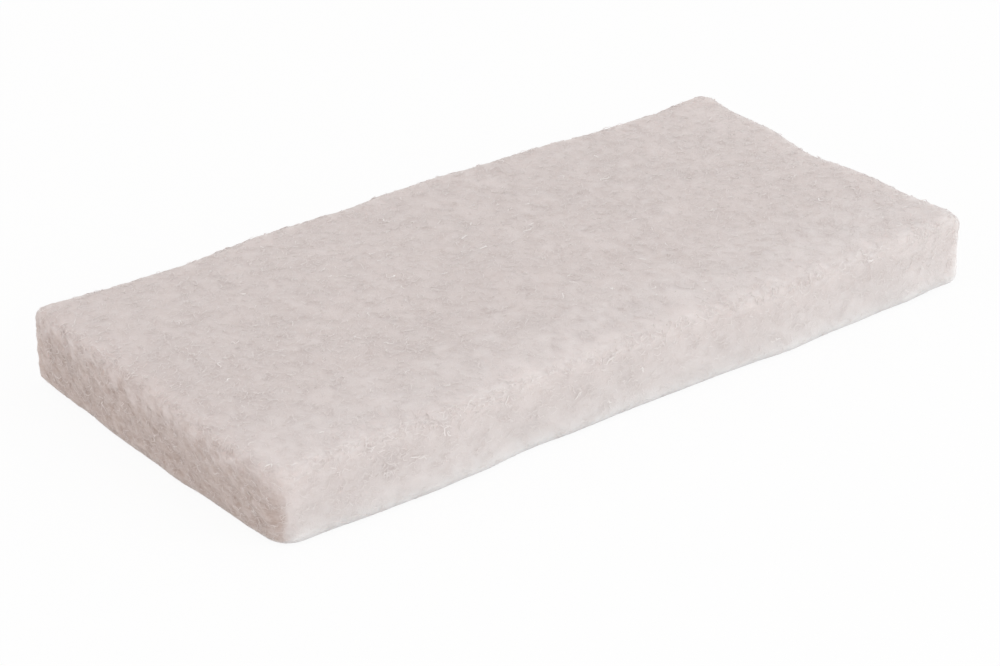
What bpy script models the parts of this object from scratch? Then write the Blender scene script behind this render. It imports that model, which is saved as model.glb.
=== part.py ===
"""Edge cleaning pad: one block cut from a thick, soft web of bonded fibre.

The pad lies flat on its underside. X runs along its length, Y across its width and Z up,
and the origin is on the underside, below the middle of the pad's bounding box.
All sizes are in metres.
"""

import math

import bmesh
import bpy
from mathutils import Vector, noise

# Size of the block along its mean cut lines
LENGTH = 0.250
WIDTH = 0.120
THICKNESS = 0.024

# Rounding of the edges round both faces
TOP_ROUND = 0.0030
UNDERSIDE_ROUND = 0.0025

# Rounding of the four upright corners, seen from above
BACK_RIGHT_RADIUS = 0.0050
BACK_LEFT_RADIUS = 0.0025
FRONT_LEFT_RADIUS = 0.0060
FRONT_RIGHT_RADIUS = 0.0025

# Both faces fall away a little as they near the cut sides
SHOULDER_WIDTH = 0.020
TOP_DROP = 0.0008
UNDERSIDE_DROP = 0.0003

# The knife wandered: how far each side lies outside its mean line, at even stations.
# The long sides are read from -X to +X and the short sides from -Y to +Y.
FRONT_TOP = (0.0003, 0.0006, 0.0010, 0.0002, -0.0003, -0.0006, 0.0000, 0.0006, 0.0002, -0.0003, -0.0008)
FRONT_LOW = (0.0001, 0.0010, 0.0014, -0.0001, -0.0005, -0.0009, -0.0003, 0.0009, 0.0001, -0.0003, -0.0012)
BACK_TOP = (0.0000, -0.0023, -0.0021, 0.0009, 0.0003, 0.0022, 0.0016, 0.0012, -0.0004, -0.0011, 0.0020)
BACK_LOW = (-0.0010, -0.0012, -0.0006, 0.0008, 0.0012, 0.0016, 0.0009, 0.0004, -0.0005, 0.0002, 0.0010)
LEFT_TOP = (-0.0004, 0.0002, 0.0004, 0.0000, 0.0003, -0.0002, -0.0009)
LEFT_LOW = (-0.0023, -0.0016, -0.0005, -0.0001, 0.0002, -0.0006, -0.0003)
RIGHT_TOP = (-0.0003, -0.0016, -0.0008, -0.0032, 0.0003, 0.0013, 0.0050)
RIGHT_LOW = (-0.0010, -0.0010, -0.0012, -0.0018, 0.0002, 0.0010, 0.0028)

# Small waves left along the cut by the springy fibre
WAVE_HEIGHT = 0.0007
WAVE_LENGTH = 0.013
WAVE_FADE = 0.008

# Fineness of the mesh
POINT_SPACING = 0.0045
CORNER_STEPS = 4
ROUND_STEPS = 4
WALL_STEPS = 5
SHOULDER_STEPS = 3

PAD_COLOUR = (0.66, 0.585, 0.565, 1.0)
PAD_ROUGHNESS = 0.95


def clear_scene():
    for thing in list(bpy.data.objects):
        bpy.data.objects.remove(thing, do_unlink=True)


def read_sway(stations, share):
    """Smooth curve through even stations, read at a share from 0 to 1 of the side."""
    place = min(max(share, 0.0), 1.0) * (len(stations) - 1)
    first = min(int(place), len(stations) - 2)
    step = place - first
    start = stations[first]
    end = stations[first + 1]
    before = stations[max(first - 1, 0)]
    after = stations[min(first + 2, len(stations) - 1)]
    linear = (end - before) * step
    square = (2 * before - 5 * start + 4 * end - after) * step ** 2
    cube = (3 * start - before - 3 * end + after) * step ** 3
    return start + (linear + square + cube) / 2


def outline(inset):
    """Points and outward directions of a rounded rectangle, anticlockwise from above."""
    long_steps = round(LENGTH / POINT_SPACING)
    short_steps = round(WIDTH / POINT_SPACING)
    corners = (
        (1, 1, BACK_RIGHT_RADIUS, long_steps),
        (-1, 1, BACK_LEFT_RADIUS, short_steps),
        (-1, -1, FRONT_LEFT_RADIUS, long_steps),
        (1, -1, FRONT_RIGHT_RADIUS, short_steps),
    )
    centres = []
    for sign_x, sign_y, radius, steps in corners:
        reach_x = LENGTH / 2 - inset - radius
        reach_y = WIDTH / 2 - inset - radius
        centres.append(Vector((sign_x * reach_x, sign_y * reach_y)))
    found = []
    for quarter, (sign_x, sign_y, radius, side_steps) in enumerate(corners):
        for step in range(CORNER_STEPS + 1):
            angle = math.pi / 2 * (quarter + step / CORNER_STEPS)
            outward = Vector((math.cos(angle), math.sin(angle)))
            found.append((centres[quarter] + radius * outward, outward))
        following = (quarter + 1) % len(corners)
        side_start = found[-1][0]
        side_end = centres[following] + corners[following][2] * outward
        for step in range(1, side_steps):
            found.append((side_start.lerp(side_end, step / side_steps), outward))
    return found


def edge_rows(radius, drop):
    """Inset and fall of a face's rows, from its flat middle out over its rounded edge."""
    rows = []
    for step in range(SHOULDER_STEPS):
        inset = SHOULDER_WIDTH + (radius - SHOULDER_WIDTH) * step / SHOULDER_STEPS
        rows.append((inset, drop * (1 - inset / SHOULDER_WIDTH) ** 2))
    for step in range(ROUND_STEPS + 1):
        angle = math.pi / 2 * step / ROUND_STEPS
        inset = radius * (1 - math.sin(angle))
        shoulder_fall = drop * (1 - inset / SHOULDER_WIDTH) ** 2
        rows.append((inset, shoulder_fall + radius * (1 - math.cos(angle))))
    return rows


def side_section():
    """Inset and height of every row, from the flat underside round to the flat top."""
    underside = edge_rows(UNDERSIDE_ROUND, UNDERSIDE_DROP)
    top = [(inset, THICKNESS - fall) for inset, fall in edge_rows(TOP_ROUND, TOP_DROP)]
    low = underside[-1][1]
    high = top[-1][1]
    wall = [(0.0, low + (high - low) * step / WALL_STEPS) for step in range(1, WALL_STEPS)]
    return underside + wall + top[::-1]


def cut_point(point, outward, inset, height):
    """Where a point of the true block goes once the cut sides wander."""
    along = point.x / LENGTH + 0.5
    across = point.y / WIDTH + 0.5
    rise = height / THICKNESS
    front = read_sway(FRONT_LOW, along) * (1 - rise) + read_sway(FRONT_TOP, along) * rise
    back = read_sway(BACK_LOW, along) * (1 - rise) + read_sway(BACK_TOP, along) * rise
    left = read_sway(LEFT_LOW, across) * (1 - rise) + read_sway(LEFT_TOP, across) * rise
    right = read_sway(RIGHT_LOW, across) * (1 - rise) + read_sway(RIGHT_TOP, across) * rise
    shift_x = right * along - left * (1 - along)
    shift_y = back * across - front * (1 - across)
    wave = noise.noise(Vector((point.x, point.y, height)) / WAVE_LENGTH)
    fade = max(0.0, 1 - inset / WAVE_FADE)
    ripple = WAVE_HEIGHT * wave * fade * outward
    return Vector((point.x + shift_x + ripple.x, point.y + shift_y + ripple.y, height))


def middle_of(points):
    """Middle of the points' bounding box, seen from above."""
    xs = [point.x for point in points]
    ys = [point.y for point in points]
    return Vector(((min(xs) + max(xs)) / 2, (min(ys) + max(ys)) / 2, 0.0))


def make_pad():
    rings = []
    for inset, height in side_section():
        rings.append([cut_point(point, outward, inset, height) for point, outward in outline(inset)])
    middle = middle_of([point for ring in rings for point in ring])
    shell = bmesh.new()
    loops = [[shell.verts.new(point - middle) for point in ring] for ring in rings]
    for lower, upper in zip(loops, loops[1:]):
        for index in range(len(lower)):
            after = (index + 1) % len(lower)
            shell.faces.new((lower[index], lower[after], upper[after], upper[index]))
    shell.faces.new(loops[0][::-1])
    shell.faces.new(loops[-1])
    bmesh.ops.triangulate(shell, faces=shell.faces[:])
    mesh = bpy.data.meshes.new("pad")
    shell.to_mesh(mesh)
    shell.free()
    mesh.shade_smooth()
    return mesh


def make_material():
    material = bpy.data.materials.new("pad_fibre")
    material.use_nodes = True
    shader = material.node_tree.nodes["Principled BSDF"]
    shader.inputs["Base Color"].default_value = PAD_COLOUR
    shader.inputs["Roughness"].default_value = PAD_ROUGHNESS
    shader.inputs["Metallic"].default_value = 0.0
    return material


def main():
    clear_scene()
    mesh = make_pad()
    mesh.materials.append(make_material())
    pad = bpy.data.objects.new("pad", mesh)
    bpy.context.scene.collection.objects.link(pad)


main()
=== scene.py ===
"""Dresses an edge cleaning pad: its fibre web, the loose strands on it, and a plain studio.

Laid out as an add-on and run as a script. Everything is in metres, in the frame of the
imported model, whose solid gives the web its outline.
"""

import math

import bmesh
import bpy
from mathutils import Matrix, Vector


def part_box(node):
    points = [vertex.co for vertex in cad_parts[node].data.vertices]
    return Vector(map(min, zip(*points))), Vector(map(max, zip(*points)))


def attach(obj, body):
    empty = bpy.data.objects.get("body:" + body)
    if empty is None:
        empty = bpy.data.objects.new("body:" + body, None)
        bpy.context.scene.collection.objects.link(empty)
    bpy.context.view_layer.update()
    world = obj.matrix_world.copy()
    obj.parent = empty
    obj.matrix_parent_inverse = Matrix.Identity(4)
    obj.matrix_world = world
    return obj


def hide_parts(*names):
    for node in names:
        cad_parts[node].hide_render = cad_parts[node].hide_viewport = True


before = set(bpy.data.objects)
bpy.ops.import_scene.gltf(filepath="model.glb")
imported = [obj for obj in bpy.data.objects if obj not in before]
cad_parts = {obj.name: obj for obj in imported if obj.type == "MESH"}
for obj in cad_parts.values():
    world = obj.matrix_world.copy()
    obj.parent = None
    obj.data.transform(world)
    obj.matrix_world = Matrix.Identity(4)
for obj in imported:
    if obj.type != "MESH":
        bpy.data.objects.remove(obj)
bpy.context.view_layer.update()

bl_info = {
    "name": "Edge cleaning pad",
    "version": (1, 0, 0),
    "blender": (4, 5, 0),
    "location": "3D View > Sidebar > Edge pad",
    "description": "Makes the fibre web, the loose strands and the studio of an edge cleaning pad",
    "category": "Add Mesh",
}

PAD_LOW, PAD_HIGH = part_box("pad")
BODY = "root"

# Camera, as fitted to the pad's outline: where it looks, from what side and how far
CAMERA_AIM = (-0.00780, -0.00115, 0.00141)
CAMERA_AZIMUTH = -38.373
CAMERA_ELEVATION = 27.095
CAMERA_DISTANCE = 0.78477
CAMERA_LENS = 97.60
CAMERA_SENSOR = 36.0
CAMERA_NEAR = 0.01
CAMERA_FAR = 50.0

# Side and place of the two square lamps, which look at the pad
KEY_SIZE = 1.2
KEY_PLACE = (0.70, -1.45, 0.62)
FILL_SIZE = 0.9
FILL_PLACE = (-1.3, 0.1, 0.5)
PAD_PLACE = (0.0, 0.0, 0.0)

FLOOR_COLOUR = (0.90, 0.90, 0.90)
WHITE = (1.0, 1.0, 1.0)

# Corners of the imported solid's triangles that are closer than this are one point
MERGE_REACH = 1e-6

# How many marks of each kind of noise fit in a metre
STRAY_MARKS = 480.0
GRIT_MARKS = 1900.0
CLUMP_MARKS = 560.0
STREAK_MARKS = 700.0
RIM_MARKS = 150.0
GAP_MARKS = (480.0, 480.0, 1300.0)

# A drawn fibre's length, width and depth, and how far it strays
FIBRE_GRAIN = (0.0020, 0.00050, 0.00045)
FIBRE_STRAY = 0.0030

# How far a long side opens up, where a cut end opens fully
LONG_SIDE_OPENNESS = 0.25

# Depth of the dimples under the pad, as a share of those on top
UNDERSIDE_DIMPLES = 0.35

# Turns of the drawn layers in the web's plane, in degrees, and the step from one to the next
LAYER_TURNS = (14, 71, 132)
LAYER_STEP = Vector((0.013, 0.007, 0.0))

# Height of the bump that the drawn fibres and the streaks on a strand make, and the share of
# grit in the first
FIBRE_BUMP = 0.00018
STREAK_BUMP = 0.00003
GRIT_BUMP = 0.3

# Shares of the deep colour in the web: off the clumps and in the grit, as the fibre's own tone, and as
# painted shade between drawn fibres and in the hollows. A pair is for the broad faces and for the cut
# ends.
CLUMP_SHADE = 0.09
BETWEEN_FIBRES_PAINTED_SHADE = (0.045, 0.145)
HOLLOW_PAINTED_SHADE = (0.07, 0.18)
GRIT_SHADE = 0.06

# On a cut end: the shares of the pad's height where the rim's painted light starts and is full, how
# strong the painted shadow is at the foot and just under the rim, and its share of the deep colour in
# whole and in gappy fibre
RIM_HEIGHTS = (0.58, 0.94)
CUT_PAINTED_SHADOW = (0.86, 0.72)
CUT_PAINTED_SHADE = (0.41, 0.79)

# Shares of the colour of painted light: on the rim of a cut end and, where the front is palest, all
# over the front, with more on the upper face, low on the side and along its foot
RIM_PAINTED_LIGHT = 0.12
FRONT_PAINTED_LIGHT = 0.10
UPPER_PAINTED_LIGHT = 0.32
LOW_PAINTED_LIGHT = 0.34
FOOT_PAINTED_LIGHT = 0.45

# How far in front of the pad's middle the painted light starts and is full, and how ragged
# that start is
PAINTED_LIGHT_START = 0.018
PAINTED_LIGHT_FULL = 0.060
PAINTED_LIGHT_RAGGED = 0.04

# How far light spreads inside the web, and the shares of that for red, green and blue
GLOW_REACH = 0.0100
GLOW_SHARES = (1.0, 0.96, 0.94)

# Share of its height by which a strand is pressed onto the skin
FACE_PRESS = 0.70
UNDERSIDE_PRESS = 0.65
TUFT_PRESS = 0.40

# How far the strands under the pad stand off, as a share of those on top
UNDERSIDE_LIFT = 0.3

# Most that a strand turns away from the grain, in radians
ANY_WAY = math.pi
ALONG_LAYERS = 0.9

# Width of the band along the top's edge that carries tufts
TUFT_BAND = 0.0019

# A strand's own numbers go from 0 to 1. Raised to these powers, they are high for a few strands,
# or for very few, which are bright and thick.
FEW = 12.0
RARE = 110.0

# Lift of a strand, as a share of the usual: what all have, and what a few have on top of it
LEAST_LIFT = 0.25
FAR_LIFT = 1.6

# Least and most length and thickness of a strand, as shares of the usual, what a bright strand
# has on top of its thickness, and the share of it that is left at the ends
STRAND_LENGTHS = (0.45, 1.5)
STRAND_GIRTHS = (0.6, 1.4)
BRIGHT_GIRTH = 1.2
END_GIRTH = 0.55

# Shares of the light colour in a strand: least and most in a plain one, what a bright one, partly
# whiter fibre and partly a painted glint, and the streaks have on top, and the shares of the bright
# part and of all of it that painted shade on a cut end takes away
PLAIN_LIGHT = (0.10, 0.30)
BRIGHT_LIGHT_AND_GLINT = 0.44
STREAK_LIGHT = 0.08
BRIGHT_LOST_TO_SHADE = 0.80
LIGHT_LOST_TO_SHADE = 0.35

# Share of the deep colour painted as shade on a strand on a cut end, and roughness of a strand,
# from the dullest strand to the lightest
STRAND_PAINTED_SHADE = (0.45, 0.05)
STRAND_ROUGHNESS = (0.55, 0.35)

# Lowest place of a strand's points: just above the floor, and not bound sideways
CLEAR_OF_FLOOR = (-1.0, -1.0, 0.00002)

# Step in the noise from one strand's curl to the next
CURL_STEP = (57.0, 113.0, 31.0)

# Taken from a noise's colour, this leaves a push that points any way
MIDDLE_GREY = (0.5, 0.5, 0.5)

# Numbers of the Mix node's colour sockets
MIX_FACTOR = 0
MIX_FIRST = 6
MIX_SECOND = 7
MIX_RESULT = 2


class WebSettings(bpy.types.PropertyGroup):
    """Sizes of the fibre web itself, and the colours of the web and its strands."""

    grain: bpy.props.FloatProperty(
        name="Grain", description="Spacing of the points over the web's skin",
        default=0.00105, unit="LENGTH")
    dimple_depth: bpy.props.FloatProperty(
        name="Dimple depth", description="Depth of the soft dimples in both faces",
        default=0.00035, unit="LENGTH")
    dimple_size: bpy.props.FloatProperty(
        name="Dimple size", description="Distance from one dimple to the next",
        default=0.0065, unit="LENGTH")
    pit_depth: bpy.props.FloatProperty(
        name="Pit depth", description="Depth of the gaps between layers on the cut sides",
        default=0.0006, unit="LENGTH")
    pit_size: bpy.props.FloatProperty(
        name="Pit size", description="Length of the gaps between layers on the cut sides",
        default=0.0045, unit="LENGTH")
    layer_height: bpy.props.FloatProperty(
        name="Layer height", description="Thickness of one layer of the web",
        default=0.0022, unit="LENGTH")
    colour: bpy.props.FloatVectorProperty(
        name="Web colour", description="Colour of the web's outer fibres",
        default=(0.700, 0.632, 0.617), subtype="COLOR")
    deep_colour: bpy.props.FloatVectorProperty(
        name="Deep colour", description="Colour in the gaps, where fibre shades fibre",
        default=(0.475, 0.382, 0.340), subtype="COLOR")
    # Painted light: the colour towards which the rims of the cut ends and the front are lightened
    painted_light_colour: bpy.props.FloatVectorProperty(
        name="Rim colour", description="Colour of the denser fibre along the rim and the front",
        default=(0.785, 0.740, 0.732), subtype="COLOR")
    strand_colour: bpy.props.FloatVectorProperty(
        name="Strand colour", description="Colour of the lightest strands",
        default=(0.95, 0.92, 0.91), subtype="COLOR")


class StrandSettings(bpy.types.PropertyGroup):
    """Sizes of the loose strands that lie on the web."""

    face_count: bpy.props.IntProperty(
        name="Strands on a face", description="Strands in each layer on a broad face",
        default=5200)
    side_count: bpy.props.IntProperty(
        name="Strands on the sides", description="Strands round the four cut sides",
        default=5400)
    tuft_count: bpy.props.IntProperty(
        name="Tufts", description="Strands that stand up along the edge of the top", default=900)
    steps: bpy.props.IntProperty(
        name="Steps", description="Points along each strand", default=7)
    length: bpy.props.FloatProperty(
        name="Length", description="Usual length of a strand", default=0.0026, unit="LENGTH")
    width: bpy.props.FloatProperty(
        name="Width", description="Usual thickness of a strand", default=0.00024, unit="LENGTH")
    curl: bpy.props.FloatProperty(
        name="Curl", description="How far a strand strays from a straight line",
        default=0.0030, unit="LENGTH")
    curl_size: bpy.props.FloatProperty(
        name="Curl size", description="Length over which a strand bends",
        default=0.0012, unit="LENGTH")
    face_lift: bpy.props.FloatProperty(
        name="Lift on a face", description="How far a strand stands off a broad face",
        default=0.00020, unit="LENGTH")
    side_lift: bpy.props.FloatProperty(
        name="Lift on a side", description="How far a strand stands off a cut side",
        default=0.00020, unit="LENGTH")
    tuft_lift: bpy.props.FloatProperty(
        name="Lift of a tuft", description="How far a tuft stands off the edge of the top",
        default=0.00035, unit="LENGTH")


class StudioSettings(bpy.types.PropertyGroup):
    """Floor, lights and sky."""

    floor_size: bpy.props.FloatProperty(
        name="Floor size", description="Side of the square floor", default=6.0, unit="LENGTH")
    floor_white: bpy.props.FloatProperty(
        name="Floor white", description="Share of plain white in the floor, as seen",
        default=0.92, subtype="FACTOR")
    key_power: bpy.props.FloatProperty(
        name="Key light", description="Power of the large soft light", default=10.4, unit="POWER")
    key_colour: bpy.props.FloatVectorProperty(
        name="Key colour", description="Colour of the large soft light",
        default=(0.87, 0.985, 1.0), subtype="COLOR")
    fill_power: bpy.props.FloatProperty(
        name="Fill light", description="Power of the warm light on the left", default=1.2,
        unit="POWER")
    fill_colour: bpy.props.FloatVectorProperty(
        name="Fill colour", description="Colour of the light on the left",
        default=(1.0, 0.81, 0.69), subtype="COLOR")
    sky_strength: bpy.props.FloatProperty(
        name="Sky", description="Strength of the light from all round", default=0.88)
    sky_colour: bpy.props.FloatVectorProperty(
        name="Sky colour", description="Colour of the light from all round",
        default=(1.0, 0.975, 0.968), subtype="COLOR")


class Level:
    """One changing number in a node tree. Arithmetic on levels adds the Math nodes."""

    def __init__(self, nodes, socket):
        self.nodes = nodes
        self.socket = socket

    def maths(self, operation, *values):
        inputs = dict(enumerate(values))
        return self.nodes.level("ShaderNodeMath", {"operation": operation}, inputs)

    def __add__(self, other):
        return self.maths("ADD", self, other)

    def __radd__(self, other):
        return self.maths("ADD", other, self)

    def __sub__(self, other):
        return self.maths("SUBTRACT", self, other)

    def __rsub__(self, other):
        return self.maths("SUBTRACT", other, self)

    def __mul__(self, other):
        return self.maths("MULTIPLY", self, other)

    def __rmul__(self, other):
        return self.maths("MULTIPLY", other, self)

    def __rtruediv__(self, other):
        return self.maths("DIVIDE", other, self)

    def __pow__(self, other):
        return self.maths("POWER", self, other)

    def __abs__(self):
        return self.maths("ABSOLUTE", self)

    def below(self, other):
        return self.maths("LESS_THAN", self, other)

    def highest(self, other):
        return self.maths("MAXIMUM", self, other)

    def smooth(self, low, high):
        """0 up to low, 1 from high, and a soft rise between them."""
        settings = {"interpolation_type": "SMOOTHSTEP"}
        inputs = {"Value": self, "From Min": low, "From Max": high}
        return self.nodes.level("ShaderNodeMapRange", settings, inputs)


class Nodes:
    """Adds nodes to one tree and links them."""

    def __init__(self, tree):
        self.tree = tree

    def add(self, kind, settings=None, values=None):
        """A node of this type, with its settings, then the values or links of its sockets."""
        node = self.tree.nodes.new(kind)
        for name, setting in (settings or {}).items():
            setattr(node, name, setting)
        for key, value in (values or {}).items():
            socket = self.find(node.inputs, key)
            if isinstance(value, Level):
                value = value.socket
            if isinstance(value, bpy.types.NodeSocket):
                self.tree.links.new(value, socket)
            else:
                socket.default_value = value
        return node

    def find(self, sockets, key):
        """A socket by its number, or the first in use, or the one in use that has this name."""
        if isinstance(key, int):
            return sockets[key]
        return next(socket for socket in sockets if socket.enabled and key in (None, socket.name))

    def out(self, kind, settings=None, values=None, key=None):
        """One output socket of a new node."""
        return self.find(self.add(kind, settings, values).outputs, key)

    def level(self, kind, settings=None, values=None, key=None):
        """One output of a new node, as a number to reckon with."""
        return Level(self, self.out(kind, settings, values, key))

    def vector(self, operation, *values):
        inputs = dict(enumerate(values))
        return self.out("ShaderNodeVectorMath", {"operation": operation}, inputs)

    def times(self, vector, factor):
        """A vector made longer by a number or a level."""
        return self.out("ShaderNodeVectorMath", {"operation": "SCALE"}, {0: vector, "Scale": factor})

    def dot(self, first, second):
        """How far one vector reaches along another."""
        return self.level("ShaderNodeVectorMath", {"operation": "DOT_PRODUCT"},
                          {0: first, 1: second}, "Value")

    def along_axis(self, vector, axis):
        """A vector's share along X, Y or Z."""
        return self.level("ShaderNodeSeparateXYZ", None, {0: vector}, axis)

    def joined(self, x=0.0, y=0.0, z=0.0):
        """A vector put together from three numbers or levels."""
        return self.out("ShaderNodeCombineXYZ", None, {"X": x, "Y": y, "Z": z})

    def noise(self, place, scale, detail=2.0, roughness=0.5):
        values = {"Vector": place, "Scale": scale, "Detail": detail, "Roughness": roughness}
        return self.level("ShaderNodeTexNoise", None, values, "Fac")

    def push(self, place, scale, detail):
        """A smoothly changing vector that points any way."""
        values = {"Vector": place, "Scale": scale, "Detail": detail, "Roughness": 0.5}
        colour = self.out("ShaderNodeTexNoise", None, values, "Color")
        return self.vector("SUBTRACT", colour, MIDDLE_GREY)

    def mix(self, factor, first, second):
        """A colour between two colours."""
        values = {MIX_FACTOR: factor, MIX_FIRST: first, MIX_SECOND: second}
        return self.out("ShaderNodeMix", {"data_type": "RGBA"}, values, MIX_RESULT)

    def attribute(self, name):
        """In a material, a number kept on the mesh."""
        return self.level("ShaderNodeAttribute", {"attribute_name": name}, None, "Fac")

    def kept(self, name):
        """In a mesh tree, a number kept on the mesh."""
        return self.level("GeometryNodeInputNamedAttribute", {"data_type": "FLOAT"},
                          {"Name": name}, "Attribute")

    def keep(self, geometry, **levels):
        """The same mesh or points, with these numbers kept on them by name."""
        for name, level in levels.items():
            geometry = self.out("GeometryNodeStoreNamedAttribute", None,
                                {"Geometry": geometry, "Name": name, "Value": level})
        return geometry


def opaque(colour):
    return (*colour, 1.0)


def between(low, high, share):
    """Goes from low to high as the share goes from 0 to 1."""
    return low + (high - low) * share


def new_tree(name, sockets):
    """A Geometry Nodes tree with a mesh in, these inputs, and a mesh out."""
    tree = bpy.data.node_groups.new(name, "GeometryNodeTree")
    tree.interface.new_socket("Mesh", in_out="INPUT", socket_type="NodeSocketGeometry")
    for socket_name, kind in sockets:
        tree.interface.new_socket(socket_name, in_out="INPUT", socket_type="NodeSocket" + kind)
    tree.interface.new_socket("Mesh", in_out="OUTPUT", socket_type="NodeSocketGeometry")
    nodes = Nodes(tree)
    given = {socket.name: Level(nodes, socket) for socket in nodes.add("NodeGroupInput").outputs}
    return tree, nodes, given


def finish_tree(nodes, geometry, material):
    """Makes instances real, gives the mesh its material and hands it out."""
    real = nodes.out("GeometryNodeRealizeInstances", None, {"Geometry": geometry})
    painted = nodes.out("GeometryNodeSetMaterial", None, {"Geometry": real, "Material": material})
    nodes.add("NodeGroupOutput", None, {"Mesh": painted})


def new_object(name, mesh):
    thing = bpy.data.objects.new(name, mesh)
    bpy.context.scene.collection.objects.link(thing)
    return thing


def plain_mesh(carrier):
    """The mesh that an object's modifiers make. The object itself goes."""
    depsgraph = bpy.context.evaluated_depsgraph_get()
    made = bpy.data.meshes.new_from_object(carrier.evaluated_get(depsgraph), depsgraph=depsgraph)
    carrier.modifiers.clear()
    bpy.data.objects.remove(carrier, do_unlink=True)
    return made


def run_tree(tree, mesh, inputs, name):
    """An object whose plain mesh is what the tree makes of the given mesh."""
    carrier = new_object(name + "_source", mesh)
    modifier = carrier.modifiers.new("tree", "NODES")
    modifier.node_group = tree
    for item in tree.interface.items_tree:
        if item.in_out == "INPUT" and item.name in inputs:
            modifier[item.identifier] = inputs[item.name]
    made = plain_mesh(carrier)
    made.name = name
    return new_object(name, made)


def even_skin(grain):
    """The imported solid's skin, merged and made anew from small even faces."""
    shell = bmesh.new()
    shell.from_mesh(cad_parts["pad"].data)
    bmesh.ops.remove_doubles(shell, verts=shell.verts[:], dist=MERGE_REACH)
    mesh = bpy.data.meshes.new("web_shell")
    shell.to_mesh(mesh)
    shell.free()
    carrier = new_object("web_shell", mesh)
    remesh = carrier.modifiers.new("even faces", "REMESH")
    remesh.mode = "VOXEL"
    remesh.voxel_size = grain
    return plain_mesh(carrier)


def relief_tree():
    """Sinks the skin: soft dimples on the faces, gaps between layers on the sides."""
    tree, nodes, given = new_tree("web_relief", (
        ("Material", "Material"),
        ("Dimple depth", "Float"),
        ("Dimple size", "Float"),
        ("Pit depth", "Float"),
        ("Pit size", "Float"),
        ("Layer height", "Float"),
    ))
    place = nodes.out("GeometryNodeInputPosition")
    normal = nodes.out("GeometryNodeInputNormal")
    upward = nodes.along_axis(normal, "Z")
    endward = nodes.along_axis(normal, "X")
    side = 1 - abs(upward).smooth(0.35, 0.85)
    top = upward.smooth(0.0, 0.6)

    # The short ends are cut across the layers and open up more than the long sides. The materials
    # also paint shade on the open ends by this
    openness = side * between(LONG_SIDE_OPENNESS, 1, abs(endward).smooth(0.3, 0.9))

    cell = nodes.joined(given["Dimple size"], given["Dimple size"], given["Dimple size"])
    dimple = nodes.noise(nodes.vector("DIVIDE", place, cell), 1.0, 3.0, 0.6).smooth(0.25, 0.75)
    cell = nodes.joined(given["Pit size"], given["Pit size"], given["Layer height"])
    layer = nodes.noise(nodes.vector("DIVIDE", place, cell), 1.0, 4.0, 0.62).smooth(0.28, 0.62)

    face_sink = (1 - dimple) * given["Dimple depth"] * between(UNDERSIDE_DIMPLES, 1, top)
    side_sink = (1 - layer) * given["Pit depth"]
    sink = face_sink * (1 - side) + side_sink * openness
    # Kept for the material, which paints shade in the hollows by it
    depth = (1 - dimple) * (1 - side) + (1 - layer) * side
    moved = nodes.out("GeometryNodeSetPosition", None, {
        "Geometry": given["Mesh"], "Offset": nodes.times(normal, 0 - sink)})
    moved = nodes.keep(moved, web_depth=depth, web_openness=openness)
    finish_tree(nodes, moved, given["Material"])
    return tree


def scatter_strands(nodes, given):
    """Straight strands centred on points of the skin, each with its own turn and size."""
    def chance(step, low=0.0, high=1.0):
        return nodes.level("FunctionNodeRandomValue", {"data_type": "FLOAT"},
                           {"Min": low, "Max": high, "Seed": given["Seed"] + step})

    # Facing is 1 for faces that look up, 0 for sides and -1 for the underside
    upward = nodes.along_axis(nodes.out("GeometryNodeInputNormal"), "Z")
    faces = abs(upward - given["Facing"]).below(given["Reach"])
    scatter = nodes.add("GeometryNodeDistributePointsOnFaces", None, {
        "Mesh": given["Mesh"], "Selection": faces, "Density": given["Density"],
        "Seed": given["Seed"]})
    outward = scatter.outputs["Normal"]

    across = nodes.vector("NORMALIZE", nodes.vector("CROSS_PRODUCT", outward, given["Grain axis"]))
    along = nodes.vector("CROSS_PRODUCT", outward, across)
    turn = chance(1, -1.0, 1.0) * given["Spread"]
    way = nodes.vector(
        "ADD",
        nodes.times(across, turn.maths("COSINE", turn)),
        nodes.times(along, turn.maths("SINE", turn)))
    points = nodes.keep(scatter.outputs["Points"],
                        strand_key=chance(2), strand_rise=chance(3), strand_girth=chance(4))

    half = given["Length"] * 0.5
    line = nodes.out("GeometryNodeCurvePrimitiveLine", None, {
        "Start": nodes.joined(0 - half), "End": nodes.joined(half)})
    line = nodes.out("GeometryNodeResampleCurve", None, {"Curve": line, "Count": given["Steps"]})
    turned = nodes.out("FunctionNodeAlignRotationToVector", {"axis": "X"}, {"Vector": way})
    size = chance(5, *STRAND_LENGTHS)
    strands = nodes.out("GeometryNodeInstanceOnPoints", None, {
        "Points": points, "Instance": line, "Rotation": turned,
        "Scale": nodes.joined(size, size, size)})
    return nodes.out("GeometryNodeRealizeInstances", None, {"Geometry": strands})


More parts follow.
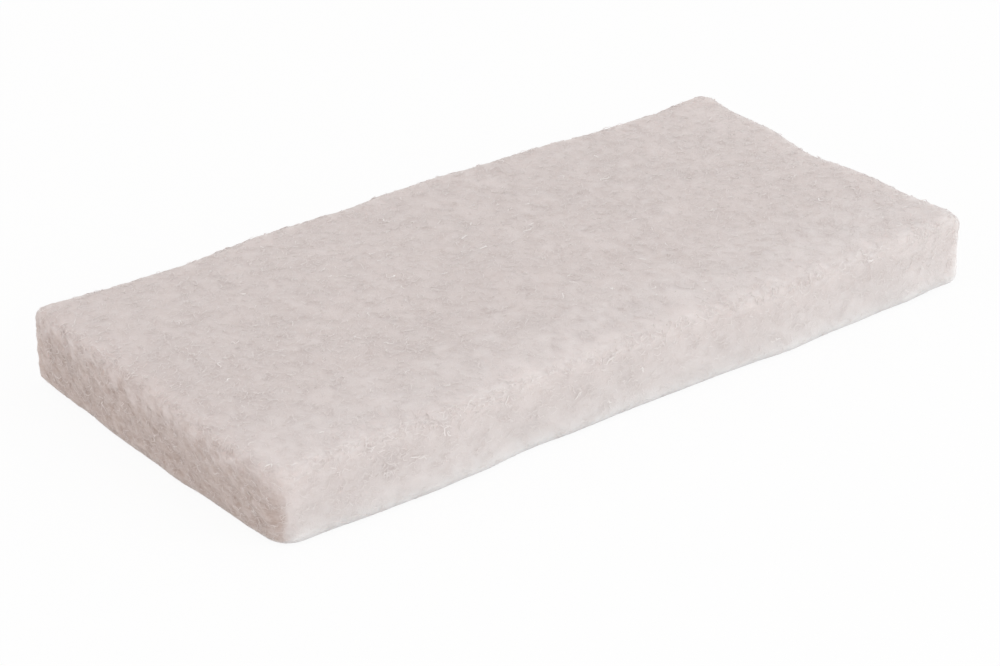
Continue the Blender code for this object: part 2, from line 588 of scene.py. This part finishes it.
def strand_tree():
    """Curly strands that lie on a skin and dip into it at both ends."""
    tree, nodes, given = new_tree("web_strands", (
        ("Material", "Material"),
        ("Density", "Float"),
        ("Length", "Float"),
        ("Width", "Float"),
        ("Curl", "Float"),
        ("Curl size", "Float"),
        ("Lift", "Float"),
        ("Flatness", "Float"),
        ("Facing", "Float"),
        ("Reach", "Float"),
        ("Grain axis", "Vector"),
        ("Spread", "Float"),
        ("Steps", "Int"),
        ("Seed", "Int"),
    ))
    strands = scatter_strands(nodes, given)
    key = nodes.kept("strand_key")
    rise = nodes.kept("strand_rise")
    girth = nodes.kept("strand_girth")

    place = nodes.out("GeometryNodeInputPosition")
    wander = nodes.vector("ADD", nodes.times(place, 1 / given["Curl size"]), nodes.times(CURL_STEP, key))
    curl = nodes.times(nodes.push(wander, 1.0, 2.0), given["Curl"] * 2)
    strands = nodes.out("GeometryNodeSetPosition", None, {"Geometry": strands, "Offset": curl})

    # The skin's nearest point, and which way the skin faces there
    nearest = nodes.out("GeometryNodeProximity", {"target_element": "FACES"},
                        {"Geometry": given["Mesh"], "Sample Position": place}, "Position")
    outward = nodes.out("GeometryNodeSampleNearestSurface", {"data_type": "FLOAT_VECTOR"}, {
        "Mesh": given["Mesh"], "Value": nodes.out("GeometryNodeInputNormal"),
        "Sample Position": place}, "Value")

    # A strand arches off the skin, most of them little and a few far
    along = nodes.level("GeometryNodeSplineParameter", None, None, "Factor")
    arch = 4 * along * (1 - along)
    lift = given["Lift"] * (LEAST_LIFT + rise ** 2.0 + FAR_LIFT * rise ** FEW)
    height = lift * arch - given["Width"] * (1 - arch)
    settled = nodes.vector("ADD", nearest, nodes.times(outward, height))
    strands = nodes.out("GeometryNodeSetPosition", None, {"Geometry": strands, "Position": settled})

    girth = between(*STRAND_GIRTHS, girth) + BRIGHT_GIRTH * key ** RARE
    radius = given["Width"] * 0.5 * girth * between(END_GIRTH, 1, arch)
    section = nodes.out("GeometryNodeCurvePrimitiveCircle", None, {"Resolution": 3, "Radius": 1.0})
    tubes = nodes.out("GeometryNodeCurveToMesh", None, {
        "Curve": strands, "Profile Curve": section, "Scale": radius, "Fill Caps": True})

    # Pressed towards the skin, so that it reads as one with it
    above = nodes.dot(nodes.vector("SUBTRACT", place, nearest), outward)
    pressed = nodes.vector("ADD", nearest, nodes.times(outward, above * (1 - given["Flatness"])))
    pressed = nodes.vector("MAXIMUM", pressed, CLEAR_OF_FLOOR)
    tubes = nodes.out("GeometryNodeSetPosition", None, {"Geometry": tubes, "Position": pressed})
    finish_tree(nodes, tubes, given["Material"])
    return tree


def fibre_pattern(nodes, place):
    """Fine wavy fibres in layers turned in the web's plane: 1 along a fibre, 0 between fibres."""
    bent = nodes.vector("ADD", place, nodes.times(nodes.push(place, STRAY_MARKS, 0.0), FIBRE_STRAY))
    pattern = None
    for number, turn in enumerate(LAYER_TURNS):
        turned = nodes.out("ShaderNodeMapping", {"vector_type": "TEXTURE"}, {
            "Vector": bent,
            "Rotation": (0.0, 0.0, math.radians(turn)),
            "Location": LAYER_STEP * number,
            "Scale": FIBRE_GRAIN})
        ridge = 1 - abs(nodes.noise(turned, 1.0, 0.0) - 0.5).smooth(0.0, 0.10)
        pattern = ridge if pattern is None else pattern.highest(ridge)
    return pattern


def new_material(name):
    material = bpy.data.materials.new(name)
    material.use_nodes = True
    material.node_tree.nodes.clear()
    return material, Nodes(material.node_tree)


def web_material(settings):
    """The web's skin: fine matt fibre, with painted shade darker and warmer in its gaps, and painted
    light on the rims and the front.
    """
    material, nodes = new_material("fibre_web")
    place = nodes.out("ShaderNodeTexCoord", None, None, "Object")
    depth = nodes.attribute("web_depth")
    openness = nodes.attribute("web_openness").smooth(0.3, 0.95)
    height_up = nodes.along_axis(place, "Z") * (1 / PAD_HIGH[2])
    pattern = fibre_pattern(nodes, place)
    grit = nodes.noise(place, GRIT_MARKS, 0.0).smooth(0.3, 0.7)
    clump = nodes.noise(place, CLUMP_MARKS, 2.0, 0.6).smooth(0.38, 0.68)
    ragged = nodes.noise(place, RIM_MARKS, 4.0, 0.72) - 0.5
    gap = 1 - nodes.noise(nodes.vector("MULTIPLY", place, GAP_MARKS), 1.0, 2.0, 0.6).smooth(0.30, 0.60)

    # A cut end has painted light along a ragged rim at the top and a painted shadow over the gappy cut
    # below it
    painted_light_rim = (height_up + ragged).smooth(*RIM_HEIGHTS)
    painted_shadow_under_rim = (1 - painted_light_rim) * between(*CUT_PAINTED_SHADOW, height_up.smooth(0.1, 0.7))

    shade = (1 - clump) * CLUMP_SHADE + (1 - pattern) * between(*BETWEEN_FIBRES_PAINTED_SHADE, openness)
    shade = shade + depth * between(*HOLLOW_PAINTED_SHADE, openness) + GRIT_SHADE * grit
    shade = shade + openness * painted_shadow_under_rim * between(*CUT_PAINTED_SHADE, gap)

    # Painted light towards the front, most on the upper face and at the foot of the side
    front = (ragged * PAINTED_LIGHT_RAGGED - nodes.along_axis(place, "Y")).smooth(PAINTED_LIGHT_START, PAINTED_LIGHT_FULL)
    painted_front_light = FRONT_PAINTED_LIGHT + UPPER_PAINTED_LIGHT * height_up.smooth(0.86, 0.985)
    painted_front_light = painted_front_light + LOW_PAINTED_LIGHT * (1 - height_up).smooth(0.30, 0.90)
    painted_front_light = painted_front_light + FOOT_PAINTED_LIGHT * (1 - height_up).smooth(0.70, 1.0)
    painted_light = openness * painted_light_rim * RIM_PAINTED_LIGHT + front * (1 - openness) * painted_front_light

    colour = nodes.mix(shade, opaque(settings.colour), opaque(settings.deep_colour))
    colour = nodes.mix(painted_light, colour, opaque(settings.painted_light_colour))
    bump = nodes.out("ShaderNodeBump", None, {
        "Strength": 0.3, "Distance": FIBRE_BUMP,
        "Height": pattern * (1 - GRIT_BUMP) + grit * GRIT_BUMP})
    shader = nodes.out("ShaderNodeBsdfPrincipled", None, {
        "Base Color": colour,
        "Roughness": 0.92,
        "Specular IOR Level": 0.25,
        "Subsurface Weight": 1.0,
        "Subsurface Radius": GLOW_SHARES,
        "Subsurface Scale": GLOW_REACH,
        "Sheen Weight": 0.1,
        "Sheen Roughness": 0.6,
        "Normal": bump,
    })
    nodes.add("ShaderNodeOutputMaterial", None, {"Surface": shader})
    return material


def strand_material(settings):
    """Loose strands: from the web's colour to nearly white, strand by strand, with a painted glint on
    the brightest and painted shade on the cut ends.
    """
    material, nodes = new_material("fibre_strand")
    place = nodes.out("ShaderNodeTexCoord", None, None, "Object")
    key = nodes.attribute("strand_key")
    openness = nodes.attribute("web_openness")
    streak = nodes.noise(place, STREAK_MARKS, 2.0, 0.6).smooth(0.3, 0.7)

    # A few strands on the faces are nearly white, partly whiter fibre and partly a painted glint, and
    # those on the cut ends get painted shade
    bright_and_glint = BRIGHT_LIGHT_AND_GLINT * key ** RARE * (1 - BRIGHT_LOST_TO_SHADE * openness.smooth(0.0, 0.3))
    light = between(*PLAIN_LIGHT, key ** 2.0) + bright_and_glint + STREAK_LIGHT * streak
    shade = openness * between(*STRAND_PAINTED_SHADE, key)
    colour = nodes.mix(shade, opaque(settings.colour), opaque(settings.deep_colour))
    colour = nodes.mix(light * (1 - LIGHT_LOST_TO_SHADE * openness), colour, opaque(settings.strand_colour))
    bump = nodes.out("ShaderNodeBump", None, {
        "Strength": 0.2, "Distance": STREAK_BUMP, "Height": streak})
    shader = nodes.out("ShaderNodeBsdfPrincipled", None, {
        "Base Color": colour,
        "Roughness": between(*STRAND_ROUGHNESS, key ** 4.0),
        "Specular IOR Level": 0.4,
        "Sheen Weight": 0.1,
        "Normal": bump,
    })
    nodes.add("ShaderNodeOutputMaterial", None, {"Surface": shader})
    return material


def seen_directly(nodes):
    """1 for what the camera sees, also by way of glossy and clear surfaces."""
    path = nodes.add("ShaderNodeLightPath")
    camera = Level(nodes, path.outputs["Is Camera Ray"])
    return camera.highest(path.outputs["Is Glossy Ray"]).highest(path.outputs["Is Transmission Ray"])


def floor_material(settings):
    """Pale floor that keeps the pad's shadow and is otherwise seen as nearly white."""
    material, nodes = new_material("studio_floor")
    plain = nodes.out("ShaderNodeBsdfDiffuse", None, {"Color": opaque(FLOOR_COLOUR)})
    white = nodes.out("ShaderNodeEmission", None, {"Strength": 1.0})
    share = seen_directly(nodes) * settings.floor_white
    mixed = nodes.out("ShaderNodeMixShader", None, {0: share, 1: plain, 2: white})
    nodes.add("ShaderNodeOutputMaterial", None, {"Surface": mixed})
    return material


def make_floor(settings):
    half = settings.floor_size / 2
    mesh = bpy.data.meshes.new("floor")
    corners = ((-half, -half, 0.0), (half, -half, 0.0), (half, half, 0.0), (-half, half, 0.0))
    mesh.from_pydata(corners, [], [(0, 1, 2, 3)])
    mesh.materials.append(floor_material(settings))
    floor = new_object("floor", mesh)


def make_sky(settings):
    """Even light from all round, which is seen as plain white."""
    world = bpy.data.worlds.new("studio_sky")
    world.use_nodes = True
    world.node_tree.nodes.clear()
    nodes = Nodes(world.node_tree)
    light = nodes.out("ShaderNodeBackground", None, {
        "Color": opaque(settings.sky_colour), "Strength": settings.sky_strength})
    white = nodes.out("ShaderNodeBackground", None, {"Color": opaque(WHITE), "Strength": 1.0})
    mixed = nodes.out("ShaderNodeMixShader", None, {0: seen_directly(nodes), 1: light, 2: white})
    nodes.add("ShaderNodeOutputWorld", None, {"Surface": mixed})
    bpy.context.scene.world = world


def make_lamp(name, power, size, colour, place):
    """A square lamp that looks at the pad."""
    lamp = bpy.data.lights.new(name, "AREA")
    lamp.energy = power
    lamp.size = size
    lamp.color = colour
    holder = new_object(name, lamp)
    holder.location = place
    holder.rotation_euler = (Vector(PAD_PLACE) - Vector(place)).to_track_quat("-Z", "Y").to_euler()


def make_camera():
    """The photograph's camera."""
    azimuth = math.radians(CAMERA_AZIMUTH)
    elevation = math.radians(CAMERA_ELEVATION)
    right = Vector((math.cos(azimuth), math.sin(azimuth), 0.0))
    back = Vector((
        math.sin(azimuth) * math.cos(elevation),
        -math.cos(azimuth) * math.cos(elevation),
        math.sin(elevation)))
    up = back.cross(right)
    lens = bpy.data.cameras.new("camera")
    lens.lens = CAMERA_LENS
    lens.sensor_width = CAMERA_SENSOR
    lens.sensor_fit = "HORIZONTAL"
    lens.clip_start = CAMERA_NEAR
    lens.clip_end = CAMERA_FAR
    camera = new_object("camera", lens)
    turned = Matrix((right, up, back)).transposed().to_4x4()
    camera.matrix_world = Matrix.Translation(Vector(CAMERA_AIM) + back * CAMERA_DISTANCE) @ turned
    bpy.context.scene.camera = camera


def settle(piece):
    """Ties a finished piece to the pad's body."""
    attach(piece, BODY)


class EDGEPAD_OT_make_web(bpy.types.Operator):
    """Makes the pad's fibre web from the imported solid"""

    bl_idname = "edgepad.make_web"
    bl_label = "Make the fibre web"

    def execute(self, context):
        settings = context.scene.edgepad_web
        web = run_tree(relief_tree(), even_skin(settings.grain), {
            "Material": web_material(settings),
            "Dimple depth": settings.dimple_depth,
            "Dimple size": settings.dimple_size,
            "Pit depth": settings.pit_depth,
            "Pit size": settings.pit_size,
            "Layer height": settings.layer_height,
        }, "pad_web")
        web.data.shade_smooth()
        settle(web)
        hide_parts("pad")
        return {"FINISHED"}


class EDGEPAD_OT_make_strands(bpy.types.Operator):
    """Lays the loose strands on both faces and round the cut sides"""

    bl_idname = "edgepad.make_strands"
    bl_label = "Lay the loose strands"

    def execute(self, context):
        settings = context.scene.edgepad_strands
        web = bpy.data.objects["pad_web"]
        length, width, height = (PAD_HIGH[axis] - PAD_LOW[axis] for axis in range(3))
        around = 2 * (length + width)
        usual = {
            "Material": strand_material(context.scene.edgepad_web),
            "Density": settings.face_count / (length * width),
            "Length": settings.length,
            "Width": settings.width,
            "Curl": settings.curl,
            "Curl size": settings.curl_size,
            "Lift": settings.face_lift,
            "Flatness": FACE_PRESS,
            "Facing": 1.0,
            "Reach": 0.5,
            "Grain axis": (1, 0, 0),
            "Spread": ANY_WAY,
            "Steps": settings.steps,
        }
        layers = {
            "top_strands_1": {"Seed": 11},
            "top_strands_2": {"Seed": 23},
            "side_strands": {
                "Seed": 37,
                "Density": settings.side_count / (around * height),
                "Lift": settings.side_lift,
                "Facing": 0.0,
                "Grain axis": (0, 0, 1),
                "Spread": ALONG_LAYERS,
            },
            "underside_strands": {
                "Seed": 41,
                "Lift": settings.face_lift * UNDERSIDE_LIFT,
                "Flatness": UNDERSIDE_PRESS,
                "Facing": -1.0,
            },
            "edge_tufts": {
                "Seed": 53,
                "Density": settings.tuft_count / (around * TUFT_BAND),
                "Lift": settings.tuft_lift,
                "Flatness": TUFT_PRESS,
                "Facing": 0.6,
                "Reach": 0.3,
                "Grain axis": (0, 0, 1),
            },
        }
        tree = strand_tree()
        for name, own in layers.items():
            strands = run_tree(tree, web.data.copy(), {**usual, **own}, name)
            strands.data.shade_flat()
            settle(strands)
        return {"FINISHED"}


class EDGEPAD_OT_make_studio(bpy.types.Operator):
    """Makes the floor, the lights and the camera"""

    bl_idname = "edgepad.make_studio"
    bl_label = "Make the studio"

    def execute(self, context):
        settings = context.scene.edgepad_studio
        make_floor(settings)
        make_sky(settings)
        make_lamp("key_light", settings.key_power, KEY_SIZE, settings.key_colour, KEY_PLACE)
        make_lamp("fill_light", settings.fill_power, FILL_SIZE, settings.fill_colour, FILL_PLACE)
        make_camera()
        context.scene.view_settings.view_transform = "Standard"
        return {"FINISHED"}


class EDGEPAD_PT_panel(bpy.types.Panel):
    """Lists the pad's makers in the sidebar"""

    bl_idname = "EDGEPAD_PT_panel"
    bl_label = "Edge cleaning pad"
    bl_space_type = "VIEW_3D"
    bl_region_type = "UI"
    bl_category = "Edge pad"

    def draw(self, context):
        for operator in OPERATORS:
            self.layout.operator(operator.bl_idname)


SETTINGS = (
    ("edgepad_web", WebSettings),
    ("edgepad_strands", StrandSettings),
    ("edgepad_studio", StudioSettings),
)
OPERATORS = (EDGEPAD_OT_make_web, EDGEPAD_OT_make_strands, EDGEPAD_OT_make_studio)


def register():
    for name, group in SETTINGS:
        bpy.utils.register_class(group)
        setattr(bpy.types.Scene, name, bpy.props.PointerProperty(type=group))
    for operator in OPERATORS:
        bpy.utils.register_class(operator)
    bpy.utils.register_class(EDGEPAD_PT_panel)


def unregister():
    bpy.utils.unregister_class(EDGEPAD_PT_panel)
    for operator in reversed(OPERATORS):
        bpy.utils.unregister_class(operator)
    for name, group in reversed(SETTINGS):
        delattr(bpy.types.Scene, name)
        bpy.utils.unregister_class(group)


def main():
    register()
    bpy.ops.edgepad.make_web()
    bpy.ops.edgepad.make_strands()
    bpy.ops.edgepad.make_studio()


if __name__ == "__main__":
    main()
